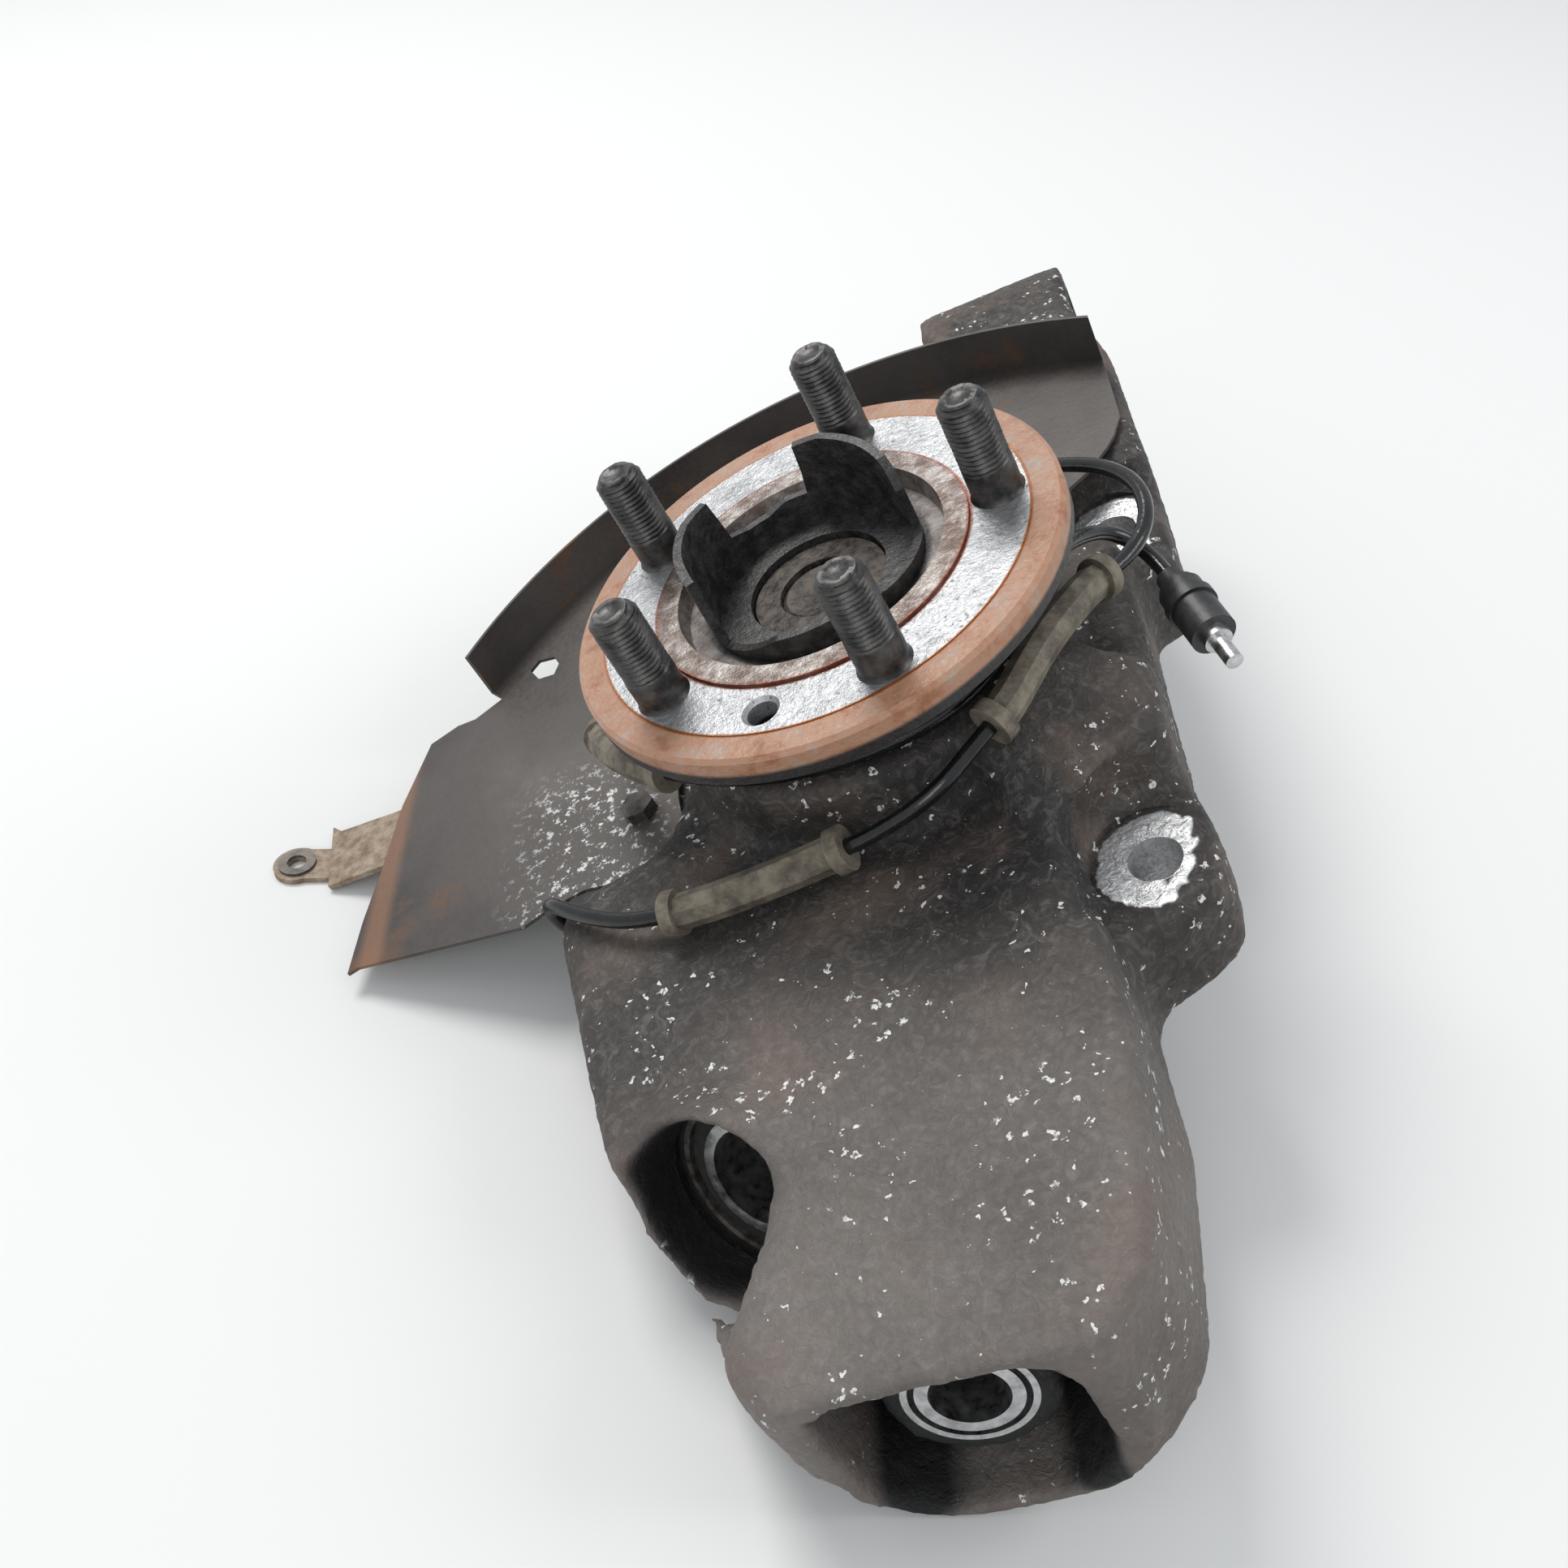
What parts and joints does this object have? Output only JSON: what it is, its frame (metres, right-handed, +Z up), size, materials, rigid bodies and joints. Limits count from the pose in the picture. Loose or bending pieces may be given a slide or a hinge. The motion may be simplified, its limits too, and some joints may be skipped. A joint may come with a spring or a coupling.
{
  "type": "wheel hub",
  "caption": "Wheel hub on its cast suspension knuckle, with wheel studs, a bent splash shield, pressed-in bushes and a speed-sensor cable.",
  "frame": {"origin": "centre of the wheel's seating face on the hub flange", "axes": "+Z up as it lies on the floor, +Y along the knuckle towards its upper eye, +X to the side of the caliper ears; the wheel axis is tipped 23 degrees from +Z"},
  "size_m": [0.305, 0.4458, 0.1829],
  "materials": {
    "cast_metal": "sand-cast, dark with road grime",
    "machined_steel": "machined, speckled",
    "stud_steel": "black phosphate",
    "bearing_steel": "ground",
    "cage_plastic": "moulded",
    "seal_rubber": "moulded",
    "spring_steel": "oiled",
    "rusty_steel": "rusted",
    "bush_steel": "turned",
    "bush_rubber": "moulded",
    "shield_steel": "worn dark coating with rust",
    "bracket_steel": "rusty zinc",
    "sensor_plastic": "moulded",
    "cable_jacket": "glossy jacket",
    "grommet_rubber": "dusty"
  },
  "bodies": {
    "carrier": {"bearing_outer_ring": "bearing_steel", "bearing_seal_front": "seal_rubber", "bearing_seal_rear": "seal_rubber", "bearing_circlip": "spring_steel", "knuckle_casting": "cast_metal", "lower_bush_shell": "bush_steel", "lower_bush_rubber": "bush_rubber", "lower_bush_sleeve": "bush_steel", "side_bush_shell": "bush_steel", "side_bush_rubber": "bush_rubber", "side_bush_sleeve": "bush_steel", "upper_bush_shell": "bush_steel", "upper_bush_rubber": "bush_rubber", "upper_bush_sleeve": "bush_steel", "splash_shield": "shield_steel", "shield_bolts": "spring_steel", "hose_bracket": "bracket_steel", "eyelet_washer": "bush_steel", "abs_sensor": "sensor_plastic", "sensor_bolt": "spring_steel", "abs_cable": "cable_jacket", "grommet_lower": "grommet_rubber", "grommet_upper": "grommet_rubber", "grommet_hub": "grommet_rubber", "connector_boot": "sensor_plastic", "cable_connector": "sensor_plastic", "connector_pin": "bearing_steel"},
    "hub": {"hub_flange": "machined_steel", "wheel_studs": "stud_steel", "bearing_inner_ring_front": "bearing_steel", "bearing_inner_ring_rear": "bearing_steel", "tone_ring": "spring_steel", "stub_axle": "rusty_steel", "axle_nut": "rusty_steel"},
    "ball_cages": {"bearing_balls_front": "bearing_steel", "bearing_cage_front": "cage_plastic", "bearing_balls_rear": "bearing_steel", "bearing_cage_rear": "cage_plastic"}
  },
  "joints": [
    {"name": "hub_spin", "type": "hinge", "parent": "carrier", "child": "hub", "pos_m": [0, 0, 0], "axis": [-0.3857, -0.0775, 0.9194], "continuous": true},
    {"name": "cage_spin", "type": "hinge", "parent": "carrier", "child": "ball_cages", "pos_m": [0, 0, 0], "axis": [-0.3857, -0.0775, 0.9194], "continuous": true}
  ],
  "couplings": [
    {"joint": "cage_spin", "follows": "hub_spin", "ratio": 0.4194}
  ]
}
